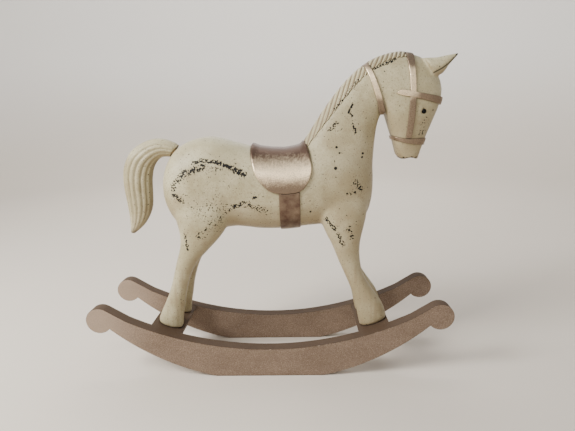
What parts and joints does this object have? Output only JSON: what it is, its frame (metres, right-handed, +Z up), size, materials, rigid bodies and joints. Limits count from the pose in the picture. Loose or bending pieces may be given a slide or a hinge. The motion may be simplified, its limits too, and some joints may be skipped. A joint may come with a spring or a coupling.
{
  "type": "rocking horse",
  "caption": "Small carved wooden rocking horse ornament with saddle and bridle, standing on cross slats between a pair of bow rockers that end in round knobs.",
  "frame": {"origin": "on the floor under the middle of the two rockers", "axes": "+X the way the horse faces, along the rockers; +Y the horse's left side; +Z up"},
  "size_m": [0.3, 0.0738, 0.2586],
  "materials": {
    "horse_paint": "satin sage-cream paint, chipped through to a near-black ground",
    "eye_black": "gloss black bead",
    "tack_bronze": "satin bronze metallic paint, worn at the edges",
    "rocker_paint": "satin taupe paint with a fine metallic speckle, dark at the edges",
    "bare_wood": "unpainted hardwood",
    "screw_steel": "plain"
  },
  "bodies": {
    "root": {"torso": "horse_paint", "neck_and_head": "horse_paint", "mane_lower": "horse_paint", "mane_upper": "horse_paint", "tail": "horse_paint", "foreleg_left": "horse_paint", "foreleg_right": "horse_paint", "hindleg_left": "horse_paint", "hindleg_right": "horse_paint", "eye_left": "eye_black", "eye_right": "eye_black", "saddle": "tack_bronze", "girth_strap": "tack_bronze", "crown_strap": "tack_bronze", "brow_band": "tack_bronze", "nose_band": "tack_bronze", "throat_strap": "tack_bronze", "rocker_left": "rocker_paint", "rocker_right": "rocker_paint", "slat_front": "rocker_paint", "slat_rear": "rocker_paint", "slat_pins": "bare_wood", "leg_dowels": "bare_wood", "neck_dowel": "bare_wood", "tail_peg": "bare_wood", "hoof_screws": "screw_steel"}
  },
  "joints": []
}
